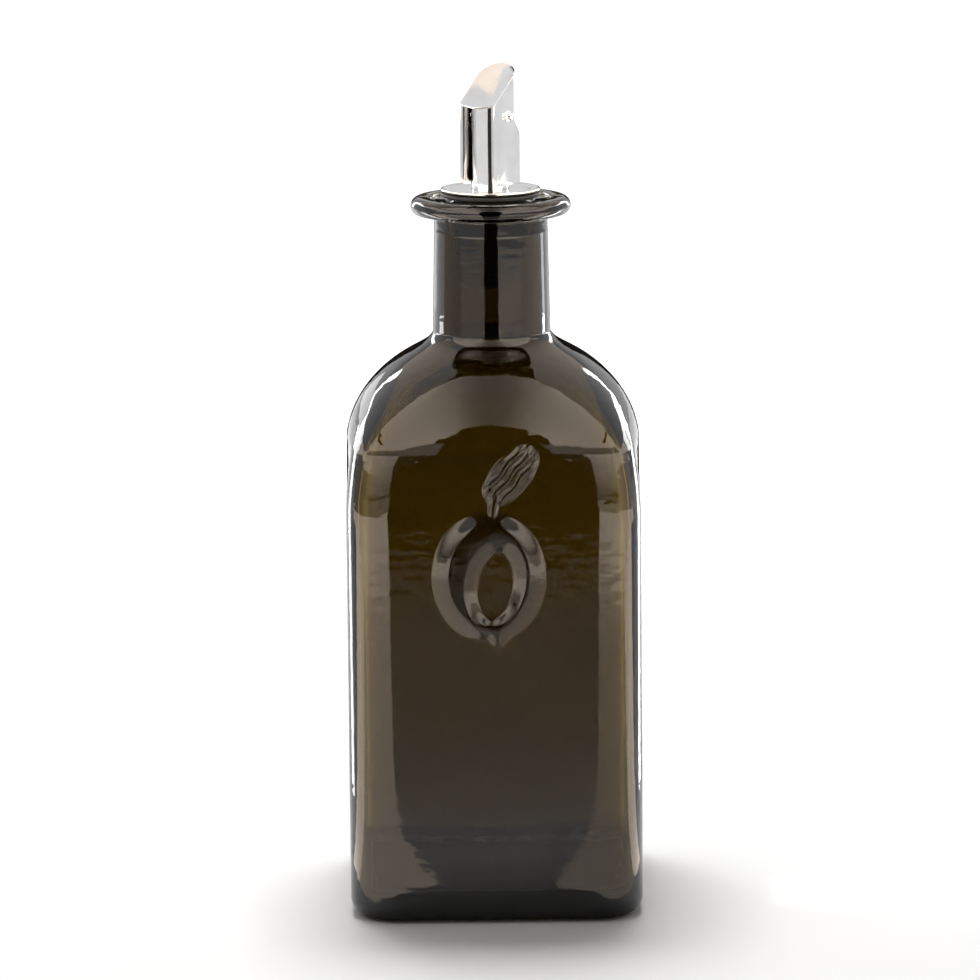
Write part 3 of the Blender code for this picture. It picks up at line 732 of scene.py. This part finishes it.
# %% Dark glass
glass_material, tree, shader = start_material("dark_glass")
shader.inputs["Transmission Weight"].default_value = 1.0
shader.inputs["IOR"].default_value = 1.5
tint_low = add_node(tree, "ShaderNodeMix", data_type="RGBA")
tint_low.inputs["A"].default_value = (0.96, 0.97, 0.94, 1.0)
tint_low.inputs["B"].default_value = (1.0, 1.0, 1.0, 1.0)
tree.links.new(noise_value(tree, 35.0, 0.0, 1.0), tint_low.inputs["Factor"])
tree.links.new(tint_low.outputs["Result"], shader.inputs["Base Color"])
tree.links.new(noise_value(tree, 60.0, 0.0, 0.03), shader.inputs["Roughness"])
peel = add_node(tree, "ShaderNodeBump", Strength=0.07, Distance=0.0005)
tree.links.new(noise_value(tree, 150.0, 0.0, 1.0, 1.5, (1.0, 1.0, 2.4)), peel.inputs["Height"])
tree.links.new(peel.outputs["Normal"], shader.inputs["Normal"])
absorb = add_node(tree, "ShaderNodeVolumeAbsorption", Color=(0.56, 0.49, 0.0, 1.0), Density=1300.0)
tree.links.new(absorb.outputs["Volume"], tree.nodes["Material Output"].inputs["Volume"])

glass_points, glass_faces = build_glass()
glass = mesh_piece("oil_bottle_glass", glass_points, glass_faces, glass_material, 60.0)
print("glass:", len(glass.data.polygons), "faces")

# %% [markdown]
# Polished steel is a mirror, so most of its look is what stands around it. What is its own is a
# very fine drawn grain that widens the mirror image a little, more in some places than others.

# %% Polished steel
steel_material, tree, shader = start_material("polished_steel")
shader.inputs["Metallic"].default_value = 1.0
steel_tone = add_node(tree, "ShaderNodeMix", data_type="RGBA")
steel_tone.inputs["A"].default_value = (0.70, 0.70, 0.70, 1.0)
steel_tone.inputs["B"].default_value = (0.82, 0.82, 0.83, 1.0)
tree.links.new(noise_value(tree, 90.0, 0.0, 1.0), steel_tone.inputs["Factor"])
tree.links.new(steel_tone.outputs["Result"], shader.inputs["Base Color"])
tree.links.new(
    noise_value(tree, 400.0, 0.06, 0.13, 2.0, (1.0, 1.0, 0.12)), shader.inputs["Roughness"]
)
grain = add_node(tree, "ShaderNodeBump", Strength=0.04, Distance=0.0001)
tree.links.new(noise_value(tree, 1400.0, 0.0, 1.0, 2.0, (1.0, 1.0, 0.05)), grain.inputs["Height"])
tree.links.new(grain.outputs["Normal"], shader.inputs["Normal"])
print("steel ready")

# %% [markdown]
# The stopper is moulded rubber: black, matt, with a fine cloudy unevenness from handling.

# %% Black rubber
rubber_material, tree, shader = start_material("black_rubber")
rubber_tone = add_node(tree, "ShaderNodeMix", data_type="RGBA")
rubber_tone.inputs["A"].default_value = (0.010, 0.010, 0.010, 1.0)
rubber_tone.inputs["B"].default_value = (0.024, 0.023, 0.022, 1.0)
tree.links.new(noise_value(tree, 120.0, 0.0, 1.0), rubber_tone.inputs["Factor"])
tree.links.new(rubber_tone.outputs["Result"], shader.inputs["Base Color"])
tree.links.new(noise_value(tree, 300.0, 0.42, 0.62), shader.inputs["Roughness"])
pores = add_node(tree, "ShaderNodeBump", Strength=0.15, Distance=0.0001)
tree.links.new(noise_value(tree, 2500.0, 0.0, 1.0), pores.inputs["Height"])
tree.links.new(pores.outputs["Normal"], shader.inputs["Normal"])
print("rubber ready")

# %% [markdown]
# Disc, tube and stopper are turned on the pourer's axis. A closed profile of radius and height is
# carried round in many steps, which is what a lathe would cut.

# %% Turned pieces
TURN_STEPS = 96
TUBE_RADIUS = 5.0 * MM
TUBE_WALL = 0.6 * MM
GAP = 0.3 * MM
TUBE_HOLE = TUBE_RADIUS + GAP


def turned(name, profile, material, height_at=None):
    """Ring turned from a closed profile; height_at may move a point up or down by its place."""
    points = []
    for step in range(TURN_STEPS):
        angle = 2.0 * math.pi * step / TURN_STEPS
        for radius, height in profile:
            x = radius * math.cos(angle)
            y = radius * math.sin(angle)
            points.append((x, y, height if height_at is None else height_at(x, y, height)))
    count = len(profile)
    faces = []
    for step in range(TURN_STEPS):
        here = step * count
        there = (step + 1) % TURN_STEPS * count
        for at in range(count):
            after = (at + 1) % count
            faces.append((here + at, there + at, there + after, here + after))
    piece = mesh_piece(name, points, faces, material)
    bm = bmesh.new()
    bm.from_mesh(piece.data)
    bmesh.ops.recalc_face_normals(bm, faces=bm.faces)
    bm.to_mesh(piece.data)
    bm.free()
    piece.data.transform(Matrix.Translation((0.0, AXIS_Y, 0.0)) @ Matrix.Rotation(POURER_TURN, 4, "Z"))
    return piece


def arc(centre, radius, start, end, steps):
    """Points of an arc in the profile's plane, angles in degrees."""
    turns = np.radians(np.linspace(start, end, steps))
    return [(centre[0] + radius * math.cos(turn), centre[1] + radius * math.sin(turn)) for turn in turns]


DISC_THICKNESS = 0.7 * MM
DISC_RISE = disc_high.z - disc_low.z - DISC_THICKNESS
DISC_EDGE = 0.45 * MM
# The slope up to the disc's rim: how far in from the rim, in mm, and the share of the rise.
DISC_RAMP = ((2.6, 0.0), (1.9, 0.25), (1.3, 0.75))
disc_radius = (disc_high.x - disc_low.x) / 2
disc_top = disc_low.z + DISC_THICKNESS
disc_profile = [(TUBE_HOLE, disc_low.z), (TUBE_HOLE, disc_top)]
disc_profile += [(disc_radius - inset * MM, disc_top + DISC_RISE * share) for inset, share in DISC_RAMP]
disc_profile += arc((disc_radius - DISC_EDGE, disc_high.z - DISC_EDGE), DISC_EDGE, 100.0, -80.0, 12)
disc_profile += [(disc_radius - 0.5 * MM, disc_low.z)]
disc = turned("pourer_collar", disc_profile, steel_material)

FLANGE_THICKNESS = 0.9 * MM
FLANGE_EDGE = 0.3 * MM
flange_radius = (stopper_high.x - stopper_low.x) / 2
flange_low = stopper_high.z - FLANGE_THICKNESS
PLUG_TOP = 10.4 * MM
PLUG_BOTTOM = 9.7 * MM
PLUG_INSET = 0.4 * MM
PLUG_END_INSET = 1.2 * MM
PLUG_END_HEIGHT = 1.0 * MM
flange_edge_at = (flange_radius - FLANGE_EDGE, stopper_high.z - FLANGE_EDGE)
stopper_profile = [(TUBE_HOLE, stopper_low.z), (TUBE_HOLE, stopper_high.z)]
stopper_profile += arc(flange_edge_at, FLANGE_EDGE, 90.0, 0.0, 6)
stopper_profile += [(flange_radius, flange_low), (PLUG_TOP - PLUG_INSET, flange_low)]
stopper_profile += [(PLUG_BOTTOM - PLUG_INSET, stopper_low.z + PLUG_END_HEIGHT)]
stopper_profile += [(PLUG_BOTTOM - PLUG_END_INSET, stopper_low.z)]
stopper = turned("stopper_plug", stopper_profile, rubber_material)
print(f"collar {2 * disc_radius / MM:.1f} mm, flange {2 * flange_radius / MM:.1f} mm across")

# %% [markdown]
# The tube is straight, and its mouth is cut on a slant, parallel to the flap and just under it.

# %% Pourer tube
PLATE_LOW = 3.6 * MM
PLATE_SLOPE = math.radians(37.0)
WING_FRONT = -6.4 * MM
SHEET = 0.5 * MM


def slanted_mouth(x, y, height):
    if height < tube_high.z:
        return height
    under = (SHEET + GAP) / math.cos(PLATE_SLOPE)
    return HINGE.z + PLATE_LOW + (x - WING_FRONT) * math.tan(PLATE_SLOPE) - under


tube_profile = [(TUBE_RADIUS, tube_low.z), (TUBE_RADIUS, tube_high.z)]
tube_profile += [(TUBE_RADIUS - TUBE_WALL, tube_high.z), (TUBE_RADIUS - TUBE_WALL, tube_low.z)]
tube = turned("pourer_pipe", tube_profile, steel_material, slanted_mouth)
print(f"tube mouth reaches {max(vertex.co.z for vertex in tube.data.vertices) / MM:.1f} mm")

# %% [markdown]
# The flap is one folded sheet: a sloping plate with a round beak, two wings beside the tube, and a
# plate across the back. Flat panels are drawn first. The Bevel modifier rounds the folds, Solidify
# gives the sheet its thickness, and a second small bevel breaks the cut edges, which then shine.

# %% Flap
WING_HALF = TUBE_RADIUS + GAP + SHEET
WING_BOTTOM = -19.1 * MM
WING_CORNER = 1.9 * MM
PLATE_TONGUE = 1.2 * MM
TIP_START = 2.8 * MM
TIP_END = 7.2 * MM
WING_BACK = 3.4 * MM
BACK_PLATE_X = TUBE_RADIUS + GAP + 2 * SHEET
BACK_PLATE_TOP = -5.9 * MM
WING_CURVE_RISE = 5.5 * MM
WING_BACK_LOW = 2.0 * MM
TIP_CLEAR = 1.2 * MM
PLATE_BEND = 1.5 * MM
BACK_BEND = 1.1 * MM
EDGE_BREAK = 0.08 * MM


def plate_point(run, across):
    """Point of the sloping plate, by the distance up the slope and across it."""
    return (WING_FRONT + run * math.cos(PLATE_SLOPE), across, PLATE_LOW + run * math.sin(PLATE_SLOPE))


def wing_outline():
    """Front and bottom corner of a wing, then the curve up its back."""
    front = arc((WING_FRONT + WING_CORNER, WING_BOTTOM + WING_CORNER), WING_CORNER, 180.0, 270.0, 12)
    back = []
    for share in np.linspace(0.0, 1.0, 15)[1:-1]:
        x = BACK_PLATE_X + (WING_BACK - BACK_PLATE_X) * float(ease(share))
        back.append((x, BACK_PLATE_TOP + WING_CURVE_RISE * share))
    tip_base = PLATE_LOW + (TIP_START - WING_FRONT) * math.tan(PLATE_SLOPE)
    back += [(WING_BACK, WING_BACK_LOW), (WING_BACK, tip_base - TIP_CLEAR)]
    return front, back


def flap_panels():
    bm = bmesh.new()
    front_points, back_points = wing_outline()
    side_run = (TIP_START - WING_FRONT) / math.cos(PLATE_SLOPE)
    tip_run = (TIP_END - WING_FRONT) / math.cos(PLATE_SLOPE)
    corners = {}
    for side in (1, -1):
        across = side * WING_HALF
        low = bm.verts.new(plate_point(0.0, across))
        high = bm.verts.new(plate_point(side_run, across))
        front = [bm.verts.new((x, across, z)) for x, z in front_points]
        foot = bm.verts.new((BACK_PLATE_X, across, WING_BOTTOM))
        knee = bm.verts.new((BACK_PLATE_X, across, BACK_PLATE_TOP))
        back = [bm.verts.new((x, across, z)) for x, z in back_points]
        bm.faces.new([low, *front, foot, knee, *back, high])
        corners[side] = (low, high, foot, knee)
    low_edge = []
    for share in np.linspace(1.0, -1.0, 15)[1:-1]:
        low_edge.append(bm.verts.new(plate_point(-PLATE_TONGUE * (1.0 - share * share), WING_HALF * share)))
    high_edge = []
    for turn in np.radians(np.linspace(0.0, 180.0, 25))[1:-1]:
        run = side_run + (tip_run - side_run) * math.sin(turn)
        high_edge.append(bm.verts.new(plate_point(run, -WING_HALF * math.cos(turn))))
    bm.faces.new([corners[1][0], *low_edge, corners[-1][0], corners[-1][1], *high_edge, corners[1][1]])
    bm.faces.new([corners[1][2], corners[-1][2], corners[-1][3], corners[1][3]])
    weight = bm.edges.layers.float.new("bevel_weight_edge")
    for side in (1, -1):
        low, high, foot, knee = corners[side]
        bm.edges.get((low, high))[weight] = 1.0
        bm.edges.get((foot, knee))[weight] = BACK_BEND / PLATE_BEND
    bmesh.ops.recalc_face_normals(bm, faces=bm.faces)
    return bm


def applied(piece):
    """Turn a piece and its modifiers into a plain mesh."""
    graph = bpy.context.evaluated_depsgraph_get()
    mesh = bpy.data.meshes.new_from_object(piece.evaluated_get(graph))
    piece.modifiers.clear()
    piece.data = mesh
    return piece


panels = flap_panels()
flap_mesh = bpy.data.meshes.new("flap_panels")
panels.to_mesh(flap_mesh)
panels.free()
flap_mesh.materials.append(steel_material)
flap = bpy.data.objects.new("pourer_lid", flap_mesh)
bpy.context.collection.objects.link(flap)
folds = flap.modifiers.new("folds", "BEVEL")
folds.limit_method = "WEIGHT"
folds.width = PLATE_BEND
folds.segments = 10
sheet = flap.modifiers.new("sheet", "SOLIDIFY")
sheet.thickness = SHEET
sheet.offset = -1.0
sheet.use_even_offset = True
edges = flap.modifiers.new("broken_edges", "BEVEL")
edges.limit_method = "ANGLE"
edges.angle_limit = math.radians(60.0)
edges.width = EDGE_BREAK
edges.segments = 3
applied(flap)
flap.data.shade_smooth()
flap.data.set_sharp_from_angle(angle=math.radians(20.0))
TO_HINGE = Matrix.Translation(HINGE) @ Matrix.Rotation(POURER_TURN, 4, "Z")
flap.data.transform(TO_HINGE)
print("flap:", len(flap.data.polygons), "faces")

# %% [markdown]
# What repeats is made by Geometry Nodes: one tree sets the sealing rings on the plug, and one sets
# the two rivets on the hinge. A tree has named inputs for its sizes, and the helper sets each by
# its socket's identifier. The result is taken off as a plain mesh.

# %% Helpers for Geometry Nodes


def new_tree(name, inputs):
    """Start a Geometry Nodes tree with named inputs, each given as a socket type."""
    tree = bpy.data.node_groups.new(name, "GeometryNodeTree")
    for label, kind in inputs.items():
        tree.interface.new_socket(name=label, in_out="INPUT", socket_type=kind)
    tree.interface.new_socket(name="Geometry", in_out="OUTPUT", socket_type="NodeSocketGeometry")
    return tree, tree.nodes.new("NodeGroupInput"), tree.nodes.new("NodeGroupOutput")


def finish_tree(tree, given, result, geometry):
    """End a tree with Realize Instances and Set Material."""
    real = tree.nodes.new("GeometryNodeRealizeInstances")
    smooth = tree.nodes.new("GeometryNodeSetShadeSmooth")
    painted = tree.nodes.new("GeometryNodeSetMaterial")
    tree.links.new(geometry, real.inputs["Geometry"])
    tree.links.new(real.outputs["Geometry"], smooth.inputs["Geometry"])
    tree.links.new(smooth.outputs["Geometry"], painted.inputs["Geometry"])
    tree.links.new(given.outputs["Material"], painted.inputs["Material"])
    tree.links.new(painted.outputs["Geometry"], result.inputs["Geometry"])


def piece_from_tree(name, tree, values):
    """Run a tree on an empty mesh and keep what it makes as a plain piece."""
    piece = bpy.data.objects.new(name, bpy.data.meshes.new(name))
    bpy.context.collection.objects.link(piece)
    modifier = piece.modifiers.new("rule", "NODES")
    modifier.node_group = tree
    for item in tree.interface.items_tree:
        if item.in_out == "INPUT":
            modifier[item.identifier] = values[item.name]
    return applied(piece)


FLOAT = "NodeSocketFloat"
print("tree helpers ready")

# %% [markdown]
# Each sealing ring is a circle swept with a small round profile, and a line of points carries one
# copy for each ring. The rings grip the bore, which is why a stopper has them.

# %% Sealing rings
PLUG_RINGS = 4
RING_THICK = 0.55 * MM
ring_inputs = {"Radius": FLOAT, "Thickness": FLOAT, "Spacing": FLOAT, "Lowest": FLOAT, "Axis Y": FLOAT}
tree, given, result = new_tree(
    "sealing_rings", {**ring_inputs, "Count": "NodeSocketInt", "Material": "NodeSocketMaterial"}
)
round_way = add_node(tree, "GeometryNodeCurvePrimitiveCircle", Resolution=96)
profile = add_node(tree, "GeometryNodeCurvePrimitiveCircle", Resolution=10)
swept = add_node(tree, "GeometryNodeCurveToMesh")
step_up = add_node(tree, "ShaderNodeCombineXYZ")
start_at = add_node(tree, "ShaderNodeCombineXYZ")
line = add_node(tree, "GeometryNodeMeshLine")
copies = add_node(tree, "GeometryNodeInstanceOnPoints")
tree.links.new(given.outputs["Radius"], round_way.inputs["Radius"])
tree.links.new(given.outputs["Thickness"], profile.inputs["Radius"])
tree.links.new(round_way.outputs["Curve"], swept.inputs["Curve"])
tree.links.new(profile.outputs["Curve"], swept.inputs["Profile Curve"])
tree.links.new(given.outputs["Spacing"], step_up.inputs["Z"])
tree.links.new(given.outputs["Lowest"], start_at.inputs["Z"])
tree.links.new(given.outputs["Axis Y"], start_at.inputs["Y"])
tree.links.new(given.outputs["Count"], line.inputs["Count"])
tree.links.new(start_at.outputs["Vector"], line.inputs["Start Location"])
tree.links.new(step_up.outputs["Vector"], line.inputs["Offset"])
tree.links.new(line.outputs["Mesh"], copies.inputs["Points"])
tree.links.new(swept.outputs["Mesh"], copies.inputs["Instance"])
finish_tree(tree, given, result, copies.outputs["Instances"])
plug_length = flange_low - stopper_low.z
rings = piece_from_tree("stopper_rings", tree, {
    "Radius": PLUG_BOTTOM + 0.2 * MM,
    "Thickness": RING_THICK,
    "Spacing": plug_length / PLUG_RINGS,
    "Lowest": stopper_low.z + plug_length / PLUG_RINGS / 2,
    "Axis Y": AXIS_Y,
    "Count": PLUG_RINGS,
    "Material": rubber_material,
})
print("sealing rings:", len(rings.data.polygons), "faces")

# %% [markdown]
# A rivet is a shank with a low domed head outside the wing. One point on each side of the hinge
# carries both. The shank is centred on the head, so it also sticks out 0.9 mm beyond the dome.

# %% Hinge rivets
RIVET_HEAD = 1.5 * MM
RIVET_DOME = 0.5 * MM
RIVET_SHANK = 0.9 * MM
rivet_inputs = {"Head": FLOAT, "Dome": FLOAT, "Shank": FLOAT, "Seat": FLOAT, "Length": FLOAT}
tree, given, result = new_tree("hinge_rivets", {**rivet_inputs, "Material": "NodeSocketMaterial"})
ball = add_node(tree, "GeometryNodeMeshUVSphere", Segments=32, Rings=16, Radius=1.0)
flatten = add_node(tree, "ShaderNodeCombineXYZ")
head = add_node(tree, "GeometryNodeTransform")
rod = add_node(tree, "GeometryNodeMeshCylinder", Vertices=24)
lay_down = add_node(tree, "GeometryNodeTransform", Rotation=(math.radians(90.0), 0.0, 0.0))
both = add_node(tree, "GeometryNodeJoinGeometry")
away = add_node(tree, "ShaderNodeMath", operation="MULTIPLY")
away.inputs[1].default_value = -1.0
from_here = add_node(tree, "ShaderNodeCombineXYZ")
to_there = add_node(tree, "ShaderNodeCombineXYZ")
line = add_node(tree, "GeometryNodeMeshLine", mode="END_POINTS", Count=2)
copies = add_node(tree, "GeometryNodeInstanceOnPoints")
tree.links.new(given.outputs["Head"], flatten.inputs["X"])
tree.links.new(given.outputs["Dome"], flatten.inputs["Y"])
tree.links.new(given.outputs["Head"], flatten.inputs["Z"])
tree.links.new(ball.outputs["Mesh"], head.inputs["Geometry"])
tree.links.new(flatten.outputs["Vector"], head.inputs["Scale"])
tree.links.new(given.outputs["Shank"], rod.inputs["Radius"])
tree.links.new(given.outputs["Length"], rod.inputs["Depth"])
tree.links.new(rod.outputs["Mesh"], lay_down.inputs["Geometry"])
tree.links.new(head.outputs["Geometry"], both.inputs["Geometry"])
tree.links.new(lay_down.outputs["Geometry"], both.inputs["Geometry"])
tree.links.new(given.outputs["Seat"], to_there.inputs["Y"])
tree.links.new(given.outputs["Seat"], away.inputs[0])
tree.links.new(away.outputs["Value"], from_here.inputs["Y"])
tree.links.new(from_here.outputs["Vector"], line.inputs["Start Location"])
tree.links.new(to_there.outputs["Vector"], line.inputs["Offset"])
tree.links.new(line.outputs["Mesh"], copies.inputs["Points"])
tree.links.new(both.outputs["Geometry"], copies.inputs["Instance"])
finish_tree(tree, given, result, copies.outputs["Instances"])
rivets = piece_from_tree("hinge_rivets", tree, {
    "Head": RIVET_HEAD,
    "Dome": RIVET_DOME,
    "Shank": RIVET_SHANK,
    "Seat": WING_HALF + GAP / 2,
    "Length": 2 * (WING_HALF - TUBE_RADIUS + TUBE_WALL),
    "Material": steel_material,
})
rivets.data.transform(TO_HINGE)
print("rivets:", len(rivets.data.polygons), "faces")

# %% [markdown]
# Every piece rides on the body that carries it and stands for the plain solids of the model, which
# are hidden. Its finish is listed beside it but not used here. The rings have no solid of their own:
# they belong to the stopper.

# %% Bodies, replaced solids and finishes
STANDS_FOR = (
    (glass, "bottle", "dark_glass", ["glass_bottle"]),
    (stopper, "bottle", "black_rubber", ["pourer_stopper"]),
    (rings, "bottle", "black_rubber", []),
    (disc, "bottle", "polished_steel", ["pourer_disc"]),
    (tube, "bottle", "polished_steel", ["pourer_tube"]),
    (flap, "flap", "polished_steel", ["pour_flap"]),
    (rivets, "flap", "polished_steel", ["rivet_left", "rivet_right"]),
)
for piece, body, finish, solids in STANDS_FOR:
    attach(piece, body)
    if solids:
        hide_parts(*solids)
    print(f"{piece.name} rides on {body}")
